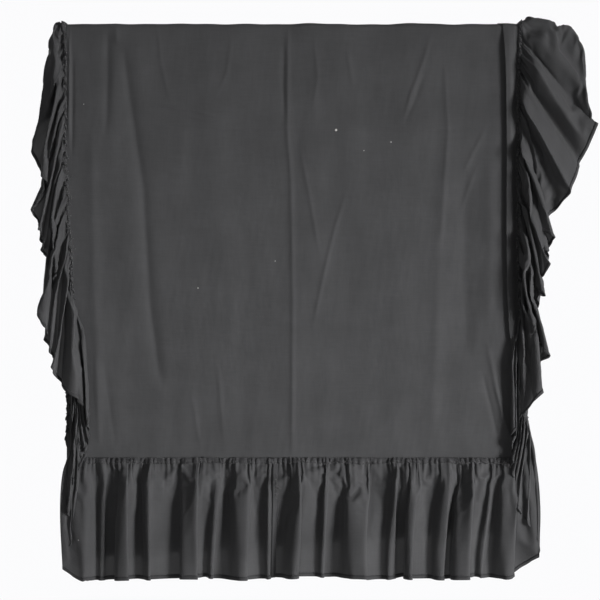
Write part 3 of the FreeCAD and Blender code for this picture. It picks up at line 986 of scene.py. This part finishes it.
def crest_bend(half):
    """The bodies and line of the bend between the crest and a half."""
    y = -half * HINGE_Y
    return ("rail_fold", "front_half" if half > 0 else "back_half"), ((0, y, 0), (0, y, -BLEND_DEPTH))


FOOT_BEND = ("front_half", "foot_flounce")
FOOT_LINE = ((0, -HINGE_Y, SEAM_Z + 0.004), (0, -HINGE_Y, SEAM_Z - 0.019))

# ---- the deck and its back hem

for half, word in ((1, "front"), (-1, "back")):
    points, flat_u, flat_v = deck_points(half)
    bodies, line = crest_bend(half)
    deck = grid_object("deck_%s_cloth" % word, points, flat_u, flat_v)
    if half < 0:
        rows = points[-5:]
        hem = closed_band("head_hem_band", hem_rings(rows, HEAD_HEM_THICKNESS), flat_u,
                          np.linspace(0, 2.1 * BACK_HEM, 2 * len(rows) + 1)[:, None])
        finish(hem, BACK_HEM_COTTON, "back_half", ["head_hem"])
        rearward = normals(rows)[1] * np.sign(normals(rows)[1, 5, 1])
        stitch_path = rows[1] + 0.0012 * rearward
        thread = stitches("head_hem_stitches", stitch_path, (0, 1, 0), radius=0.0004)
        finish(thread, SEWING_THREAD, "back_half")
    finish(deck, DECK_COTTON, bodies,
           ["deck_front", "deck_fold"] if half > 0 else ["deck_back"], line)

# ---- draping

start, foot_u, foot_down = foot_ruffle_points()
foot = drape(start)

draped = {}
for side, sign in OUTWARD.items():
    corner = foot[:, 0] if sign < 0 else foot[:, -1]
    start, flat_u, out, distance = side_ruffle_points(side, corner)
    solids = side_solids(side)
    draped[side] = drape(start, solids), flat_u, out, distance
    for solid in solids:
        bpy.data.objects.remove(solid)

# ---- the foot ruffle

# How high the small pleats at the seam are, how far the raw edge stands off the cloth, where the
# seam's stitches lie off the first row, how many columns wide the strip join's fin is, the part of
# the join that frays, by its depth, and how long the loose threads are.
FOOT_PLEAT = 0.0016
FOOT_FRILL = 0.0022
FOOT_STITCHES = (0, -0.0011, 0.0016)
FIN_COLUMNS = 4
FRAYED_JOIN = (0.035, 0.085)
FRAY_LENGTH = 0.012
CORNER_FRAY_LENGTH = 0.011

rng = np.random.default_rng(SEED + 40)
foot = refine(ease(foot))
foot_u = line_u(foot_u)
foot_down = line_u(foot_down[:, 0])[:, None]
foot = pucker(foot, foot_u, foot_down, rng, FOOT_PLEAT)
join = int(np.argmin(np.abs(foot[0, :, 0] - JOIN_X)))
allowance, outer = edge_band("foot_allowance_band", foot[:EDGE_ROWS], foot_u, rng, FOOT_FRILL, -1)
finish(allowance, RAW_COTTON, FOOT_BEND, ["foot_allowance"], FOOT_LINE)
loops = tubes("foot_overlock_thread", [zigzag(outer)], OVERLOCK_RADIUS)
finish(loops, OVERLOCK_THREAD, FOOT_BEND, ["foot_overlock"], FOOT_LINE)
path = foot[0] + FOOT_STITCHES
seam = stitches("foot_seam_stitches", path, (0, -1, 0))
finish(seam, SEWING_THREAD, "front_half", ["foot_seam"])

for word, part in (("left", slice(0, join + 1)), ("right", slice(join, None))):
    cloth = grid_object("foot_ruffle_%s_cloth" % word, foot[:, part], foot_u[part], foot_down)
    hem = ruffle_hem("foot_hem_%s_band" % word, foot[-HEM_ROWS:, part], foot_u[part],
                     foot_down[-HEM_ROWS:, 0])
    finish(hem, HEM_COTTON, FOOT_BEND, ["foot_hem_%s" % word], FOOT_LINE)
    finish(cloth, RUFFLE_COTTON, FOOT_BEND, ["foot_ruffle_%s" % word], FOOT_LINE)

fin_part = (slice(EDGE_ROWS - 2, None), slice(join - FIN_COLUMNS, join + 1))
fin_rows = foot[fin_part].transpose(1, 0, 2)[::-1]
fin_normal = -normals(foot)[fin_part].transpose(1, 0, 2)[::-1]
stand = np.linspace(0.0006, 0.0016, FIN_COLUMNS + 1)[:, None, None]
fin_rings = np.concatenate([fin_rows + fin_normal * (stand + 0.0010), (fin_rows + fin_normal * stand)[::-1]])
fin = closed_band("foot_strip_join_fin", fin_rings, foot_down[EDGE_ROWS - 2:, 0],
                  np.linspace(0, 0.02, len(fin_rings))[:, None])
finish(fin, RAW_COTTON, FOOT_BEND, ["foot_strip_join"], FOOT_LINE)
fray_rows = slice(*np.searchsorted(foot_down[:, 0], FRAYED_JOIN))
fray_edge = foot[fray_rows, join - 5:join + 1].transpose(1, 0, 2) + (0, -0.002, 0)
fray = tubes("foot_join_fray_threads",
             frays(rng, fray_edge, 26, (0, fray_edge.shape[1]), FRAY_LENGTH), FRAY_RADIUS)
finish(fray, OVERLOCK_THREAD, FOOT_BEND, ["foot_join_fray"], FOOT_LINE)
seam_end = FRONT_SEAM_X["right"][-1][1]
corner = int(np.argmin(np.hypot(foot[0, :, 0] - seam_end, foot[0, :, 2] - SEAM_Z)))
fray = tubes("foot_corner_fray_threads",
             frays(rng, outer, 30, (corner - 8, corner + 8), CORNER_FRAY_LENGTH), FRAY_RADIUS)
finish(fray, OVERLOCK_THREAD, FOOT_BEND, (), FOOT_LINE)

# ---- the side ruffles

# How far from the crest the crest pieces end.
CREST_CUT = 0.09
# Where the front flounces start to bend away from their seams, and over how far; both back ones
# bend as the left front one does.
FLOUNCE_START = {"left": 0.465, "right": 0.476}
FLOUNCE_SPAN = 0.028
FLOUNCE_Z = -0.43
# Where the left seam's raw edge frays, as distances from the crest.
RAGGED = (0.24, 0.45)
# The height and reach of the small pleats at the seam, how far the raw edge stands off the cloth,
# and how far the seam's stitches lie inside the seam and proud of the deck.
SIDE_PLEAT = (0.0021, 0.036)
SIDE_FRILL = 0.0018
STITCHES_INSIDE = 0.0016
STITCHES_PROUD = 0.0012

for side, sign in OUTWARD.items():
    grid, flat_u, out, distance = draped[side]
    rng = np.random.default_rng(SEED + 60 + sign)
    grid = refine(ease(grid))
    flat_u = line_u(flat_u)
    out = line_u(out[:, 0])[:, None]
    distance = line_u(distance)
    grid = pucker(grid, flat_u, out, rng, *SIDE_PLEAT)
    by_seam = smooth(out, 0, 0.012) * (1 - smooth(out, 0.03, 0.11))
    at_crest = 1 - smooth(np.abs(distance - CREST_SHIFT[side]), 0.004, 0.045)
    grid[..., 2] += CREST_PUFF[side] * by_seam * at_crest
    cut = [int(np.argmin(np.abs(distance - d))) for d in (CREST_CUT, CREST_SHIFT[side], -CREST_CUT)]
    spans = (("front", 1, slice(0, cut[0] + 1)), ("crest_front", 1, slice(cut[0], cut[1] + 1)),
             ("crest_back", -1, slice(cut[1], cut[2] + 1)), ("back", -1, slice(cut[2], None)))
    facing = -np.sign(normals(grid)[2:6, :cut[0], 1].mean())
    for word, half, part in spans:
        name = "%s_%s" % (side, word)
        if "crest" in word:
            body, line = crest_bend(half)
            nodes = {"ruffle": ["%s_ruffle_crest" % side], "seam": ["%s_seam_crest" % side]}
        else:
            body = ("%s_half" % word, "%s_%s_flounce" % (side, word))
            y = -half * HINGE_Y
            x = sign * FLOUNCE_START[side if half > 0 else "left"]
            line = ((x, y, FLOUNCE_Z), (x + sign * FLOUNCE_SPAN, y, FLOUNCE_Z))
            nodes = {"ruffle": ["%s_ruffle_%s" % (side, word)], "hem": ["%s_hem_%s" % (side, word)],
                     "allowance": ["%s_allowance_%s" % (side, word)]}
        cloth = grid_object("%s_ruffle_cloth" % name, grid[:, part], flat_u[part], out)
        hem = ruffle_hem("%s_hem_band" % name, grid[-HEM_ROWS + 1:, part], flat_u[part],
                         out[-HEM_ROWS + 1:, 0])
        band, outer = edge_band("%s_allowance_band" % name, grid[:4, part], flat_u[part], rng,
                                SIDE_FRILL, facing)
        loops = tubes("%s_overlock_thread" % name, [zigzag(outer)], OVERLOCK_RADIUS)
        threads = [loops]
        if word == "front" and side == "left":
            ragged = np.flatnonzero((distance[part] > RAGGED[0]) & (distance[part] < RAGGED[1]))
            found = frays(rng, outer, 120, (ragged[0], ragged[-1]), FRAY_LENGTH)
            threads.append(tubes("left_front_fray_threads", found, FRAY_RADIUS))
        finish(hem, HEM_COTTON, body, nodes.get("hem", ()), line)
        finish(band, RAW_COTTON, body, nodes.get("allowance", ()), line)
        for thread in threads:
            finish(thread, OVERLOCK_THREAD, body, (), line)
        finish(cloth, RUFFLE_COTTON, body, nodes["ruffle"], line)
    for word, half in (("front", 1), ("back", -1)):
        end = -CORNER_Z[side] if half > 0 else -SIDE_BACK_END
        path = side_seam(side, half * np.linspace(0, end + FOLD_LENGTH / 2, 400))
        path[:, 0] -= sign * STITCHES_INSIDE
        path[:, 1] -= half * STITCHES_PROUD * smooth(-path[:, 2], 0, 0.02)
        path[:, 2] += STITCHES_PROUD * (1 - smooth(-path[:, 2], 0, 0.02))
        seam = stitches("%s_seam_%s_stitches" % (side, word), path, (0, -half, 0))
        body, line = crest_bend(half)
        finish(seam, SEWING_THREAD, body,
               ["%s_seam_%s" % (side, word), "%s_seam_crest" % side], line)
